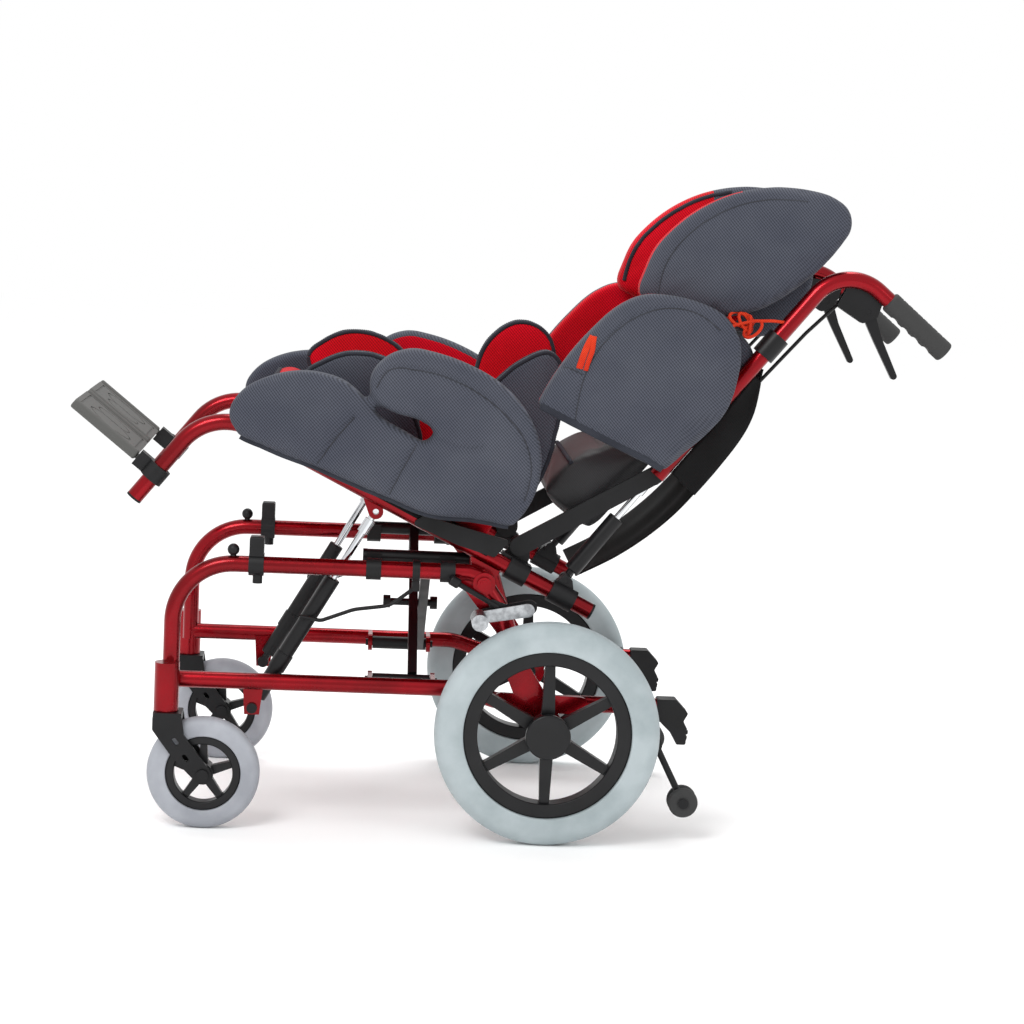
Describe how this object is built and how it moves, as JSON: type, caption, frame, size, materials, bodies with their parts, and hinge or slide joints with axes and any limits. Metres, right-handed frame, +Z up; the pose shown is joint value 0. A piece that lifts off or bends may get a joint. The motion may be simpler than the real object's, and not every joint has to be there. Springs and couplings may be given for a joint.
{
  "type": "manual wheelchair",
  "caption": "Folding tilt-in-space wheelchair with a reclining padded back, head support, armrests, footplates and castors.",
  "frame": {"origin": "on the floor under the middle of the chair's length and width", "axes": "+X to the rear, towards the push handles; +Y to the chair's right side; +Z up"},
  "size_m": [1.17, 0.558, 0.8833],
  "materials": {
    "red_enamel": "candy red enamel on steel tube",
    "black_nylon": "moulded nylon",
    "black_wheel_nylon": "glass-filled nylon wheel centre",
    "grey_tyre": "light grey solid tyre",
    "caster_tyre": "light grey solid tyre",
    "black_enamel": "black powder coat",
    "footplate_nylon": "ribbed nylon",
    "grip_rubber": "moulded rubber",
    "chromed_rod": "hard chrome",
    "zinc_steel": "zinc plated",
    "grey_mesh_fabric": "spacer mesh over foam",
    "red_fabric": "brushed fabric over foam",
    "black_fabric": "woven nylon"
  },
  "bodies": {
    "base_left": {"side_frame_left": "red_enamel", "frame_fittings_left": "black_nylon", "cables_left": "black_nylon"},
    "base_right": {"side_frame_right": "red_enamel", "frame_fittings_right": "black_nylon", "cables_right": "black_nylon"},
    "wheel_left": {"rear_wheel_left": "black_wheel_nylon", "rear_tyre_left": "grey_tyre"},
    "wheel_right": {"rear_wheel_right": "black_wheel_nylon", "rear_tyre_right": "grey_tyre"},
    "fork_left": {"caster_fork_left": "black_enamel"},
    "fork_right": {"caster_fork_right": "black_enamel"},
    "caster_left": {"caster_rim_left": "black_wheel_nylon", "caster_tyre_left": "caster_tyre"},
    "caster_right": {"caster_rim_right": "black_wheel_nylon", "caster_tyre_right": "caster_tyre"},
    "seat_left": {"seat_tube_left": "red_enamel", "seat_fittings_left": "black_nylon", "side_cushion_left": "grey_mesh_fabric", "inner_pads_left": "red_fabric", "seat_sling": "black_fabric", "seat_cushion": "red_fabric"},
    "seat_right": {"seat_tube_right": "red_enamel", "seat_fittings_right": "black_nylon", "side_cushion_right": "grey_mesh_fabric", "inner_pads_right": "red_fabric"},
    "footplate_left": {"footplate_left": "footplate_nylon"},
    "footplate_right": {"footplate_right": "footplate_nylon"},
    "back_left": {"back_cane_left": "red_enamel", "push_grip_left": "grip_rubber", "back_fittings_left": "black_enamel", "trunk_pad_left": "grey_mesh_fabric", "back_cushion": "red_fabric", "back_sling": "black_fabric"},
    "back_right": {"back_cane_right": "red_enamel", "push_grip_right": "grip_rubber", "back_fittings_right": "black_enamel", "trunk_pad_right": "grey_mesh_fabric"},
    "lever_left": {"release_lever_left": "black_enamel"},
    "lever_right": {"release_lever_right": "black_enamel"},
    "tilt_cylinder_left": {"tilt_cylinder_left": "black_enamel"},
    "tilt_cylinder_right": {"tilt_cylinder_right": "black_enamel"},
    "tilt_rod_left": {"tilt_rod_left": "chromed_rod"},
    "tilt_rod_right": {"tilt_rod_right": "chromed_rod"},
    "recline_cylinder_left": {"recline_cylinder_left": "black_enamel"},
    "recline_cylinder_right": {"recline_cylinder_right": "black_enamel"},
    "recline_rod_left": {"recline_rod_left": "chromed_rod"},
    "recline_rod_right": {"recline_rod_right": "chromed_rod"},
    "brake_left": {"brake_lever_left": "black_enamel"},
    "brake_right": {"brake_lever_right": "black_enamel"},
    "shoe_left": {"brake_shoe_left": "zinc_steel"},
    "shoe_right": {"brake_shoe_right": "zinc_steel"},
    "antitip_left": {"antitip_arm_left": "black_enamel"},
    "antitip_right": {"antitip_arm_right": "black_enamel"},
    "antitip_wheels_left": {"antitip_wheels_left": "grip_rubber"},
    "antitip_wheels_right": {"antitip_wheels_right": "grip_rubber"},
    "head": {"head_cushion": "grey_mesh_fabric"},
    "brace_a": {"brace_a": "black_enamel"},
    "brace_b": {"brace_b": "black_enamel"}
  },
  "joints": [
    {"name": "fold", "type": "hinge", "parent": "base_left", "child": "brace_a", "pos_m": [-0.11791, -0.147, 0.195], "axis": [1, 0, 0], "range_deg": [0, 28], "deforming": ["seat_sling", "seat_cushion", "back_cushion", "back_sling", "head_cushion"]},
    {"name": "brace_cross", "type": "hinge", "parent": "brace_a", "child": "brace_b", "pos_m": [-0.11791, 0, 0.28], "axis": [1, 0, 0], "range_deg": [-56, 0]},
    {"name": "fold_right", "type": "hinge", "parent": "brace_b", "child": "base_right", "pos_m": [-0.11791, 0.147, 0.195], "axis": [1, 0, 0], "range_deg": [0, 28]},
    {"name": "footplate_flip_left", "type": "hinge", "parent": "seat_left", "child": "footplate_left", "pos_m": [-0.48601, -0.167, 0.48132], "axis": [0.7826, 0, -0.6225], "range_deg": [0, 63]},
    {"name": "footplate_flip_right", "type": "hinge", "parent": "seat_right", "child": "footplate_right", "pos_m": [-0.48601, 0.167, 0.48132], "axis": [0.7826, 0, -0.6225], "range_deg": [-63, 0]},
    {"name": "tilt", "type": "hinge", "parent": "base_left", "child": "seat_left", "pos_m": [-0.02791, -0.175, 0.34], "axis": [0, 1, 0], "range_deg": [-20, 6]},
    {"name": "tilt_right", "type": "hinge", "parent": "base_right", "child": "seat_right", "pos_m": [-0.02791, 0.175, 0.34], "axis": [0, 1, 0], "range_deg": [-21, 7]},
    {"name": "recline", "type": "hinge", "parent": "seat_left", "child": "back_left", "pos_m": [0.01909, -0.175, 0.387], "axis": [0, 1, 0], "range_deg": [-4, 17]},
    {"name": "recline_right", "type": "hinge", "parent": "seat_right", "child": "back_right", "pos_m": [0.01909, 0.175, 0.387], "axis": [0, 1, 0], "range_deg": [-5, 18]},
    {"name": "tilt_strut_swing_left", "type": "hinge", "parent": "base_left", "child": "tilt_cylinder_left", "pos_m": [-0.33191, -0.165, 0.157], "axis": [0, 1, 0], "range_deg": [-1.02, 2.06]},
    {"name": "tilt_strut_stroke_left", "type": "slide", "parent": "tilt_cylinder_left", "child": "tilt_rod_left", "axis": [0.4989, 0, 0.8667], "range_m": [-0.06037, 0.01881]},
    {"name": "recline_strut_swing_left", "type": "hinge", "parent": "seat_left", "child": "recline_cylinder_left", "pos_m": [0.08309, -0.149, 0.3445], "axis": [0, 1, 0], "range_deg": [-4.92, 19.04]},
    {"name": "recline_strut_stroke_left", "type": "slide", "parent": "recline_cylinder_left", "child": "recline_rod_left", "axis": [0.6175, 0, 0.7866], "range_m": [-0.02327, 0.00624]},
    {"name": "wheel_spin_left", "type": "hinge", "parent": "base_left", "child": "wheel_left", "pos_m": [0.06209, -0.25, 0.15], "axis": [0, 1, 0], "continuous": true},
    {"name": "caster_swivel_left", "type": "hinge", "parent": "base_left", "child": "fork_left", "pos_m": [-0.44391, -0.216, 0.157], "axis": [0, 0, 1], "continuous": true},
    {"name": "caster_spin_left", "type": "hinge", "parent": "fork_left", "child": "caster_left", "pos_m": [-0.39191, -0.216, 0.075], "axis": [0, 1, 0], "continuous": true},
    {"name": "brake_handle_left", "type": "hinge", "parent": "base_left", "child": "brake_left", "pos_m": [0.00209, -0.206, 0.305], "axis": [0, 1, 0], "range_deg": [-35, 0]},
    {"name": "brake_shoe_left", "type": "hinge", "parent": "base_left", "child": "shoe_left", "pos_m": [0.03109, -0.206, 0.309], "axis": [0, 1, 0], "range_deg": [-12, 0.5]},
    {"name": "release_lever_left", "type": "hinge", "parent": "back_left", "child": "lever_left", "pos_m": [0.47109, -0.165, 0.723], "axis": [0, 1, 0], "range_deg": [-18, 0], "stiffness_Nm_per_rad": 0.6, "springref_deg": 2.86},
    {"name": "antitip_fold_left", "type": "hinge", "parent": "base_left", "child": "antitip_left", "pos_m": [0.19609, -0.208, 0.163], "axis": [0, 1, 0], "range_deg": [-75, 0]},
    {"name": "antitip_spin_left", "type": "hinge", "parent": "antitip_left", "child": "antitip_wheels_left", "pos_m": [0.25209, -0.208, 0.055], "axis": [0, 1, 0], "continuous": true},
    {"name": "tilt_strut_swing_right", "type": "hinge", "parent": "base_right", "child": "tilt_cylinder_right", "pos_m": [-0.33191, 0.165, 0.157], "axis": [0, 1, 0], "range_deg": [-1.02, 2.06]},
    {"name": "tilt_strut_stroke_right", "type": "slide", "parent": "tilt_cylinder_right", "child": "tilt_rod_right", "axis": [0.4989, 0, 0.8667], "range_m": [-0.06037, 0.01881]},
    {"name": "recline_strut_swing_right", "type": "hinge", "parent": "seat_right", "child": "recline_cylinder_right", "pos_m": [0.08309, 0.149, 0.3445], "axis": [0, 1, 0], "range_deg": [-4.92, 19.04]},
    {"name": "recline_strut_stroke_right", "type": "slide", "parent": "recline_cylinder_right", "child": "recline_rod_right", "axis": [0.6175, 0, 0.7866], "range_m": [-0.02327, 0.00624]},
    {"name": "wheel_spin_right", "type": "hinge", "parent": "base_right", "child": "wheel_right", "pos_m": [0.06209, 0.25, 0.15], "axis": [0, 1, 0], "continuous": true},
    {"name": "caster_swivel_right", "type": "hinge", "parent": "base_right", "child": "fork_right", "pos_m": [-0.44391, 0.216, 0.157], "axis": [0, 0, 1], "continuous": true},
    {"name": "caster_spin_right", "type": "hinge", "parent": "fork_right", "child": "caster_right", "pos_m": [-0.39191, 0.216, 0.075], "axis": [0, 1, 0], "continuous": true},
    {"name": "brake_handle_right", "type": "hinge", "parent": "base_right", "child": "brake_right", "pos_m": [0.00209, 0.206, 0.305], "axis": [0, 1, 0], "range_deg": [-35, 0]},
    {"name": "brake_shoe_right", "type": "hinge", "parent": "base_right", "child": "shoe_right", "pos_m": [0.03109, 0.206, 0.309], "axis": [0, 1, 0], "range_deg": [-12, 0.5]},
    {"name": "release_lever_right", "type": "hinge", "parent": "back_right", "child": "lever_right", "pos_m": [0.47109, 0.165, 0.723], "axis": [0, 1, 0], "range_deg": [-18, 0], "stiffness_Nm_per_rad": 0.6, "springref_deg": 2.86},
    {"name": "antitip_fold_right", "type": "hinge", "parent": "base_right", "child": "antitip_right", "pos_m": [0.19609, 0.208, 0.163], "axis": [0, 1, 0], "range_deg": [-75, 0]},
    {"name": "antitip_spin_right", "type": "hinge", "parent": "antitip_right", "child": "antitip_wheels_right", "pos_m": [0.25209, 0.208, 0.055], "axis": [0, 1, 0], "continuous": true},
    {"name": "headrest_height", "type": "slide", "parent": "back_left", "child": "head", "axis": [0.6225, 0, 0.7826], "range_m": [0, 0.05]}
  ],
  "couplings": [
    {"joint": "brace_cross", "follows": "fold", "ratio": -2},
    {"joint": "fold_right", "follows": "fold", "ratio": 1},
    {"joint": "footplate_flip_left", "follows": "fold", "ratio": 2.25},
    {"joint": "footplate_flip_right", "follows": "fold", "ratio": -2.25},
    {"joint": "tilt_right", "follows": "tilt", "ratio": 1},
    {"joint": "recline_right", "follows": "recline", "ratio": 1},
    {"joint": "tilt_strut_swing_left", "follows": "tilt", "ratio": -0.074583},
    {"joint": "tilt_strut_stroke_left", "follows": "tilt", "m_per_rad": 0.17009},
    {"joint": "recline_strut_swing_left", "follows": "recline", "ratio": 1.0862},
    {"joint": "recline_strut_stroke_left", "follows": "recline", "m_per_rad": -0.075057},
    {"joint": "brake_shoe_left", "follows": "brake_handle_left", "ratio": 0.32857},
    {"joint": "tilt_strut_swing_right", "follows": "tilt", "ratio": -0.074583},
    {"joint": "tilt_strut_stroke_right", "follows": "tilt", "m_per_rad": 0.17009},
    {"joint": "recline_strut_swing_right", "follows": "recline", "ratio": 1.0862},
    {"joint": "recline_strut_stroke_right", "follows": "recline", "m_per_rad": -0.075057},
    {"joint": "brake_shoe_right", "follows": "brake_handle_right", "ratio": 0.32857}
  ]
}
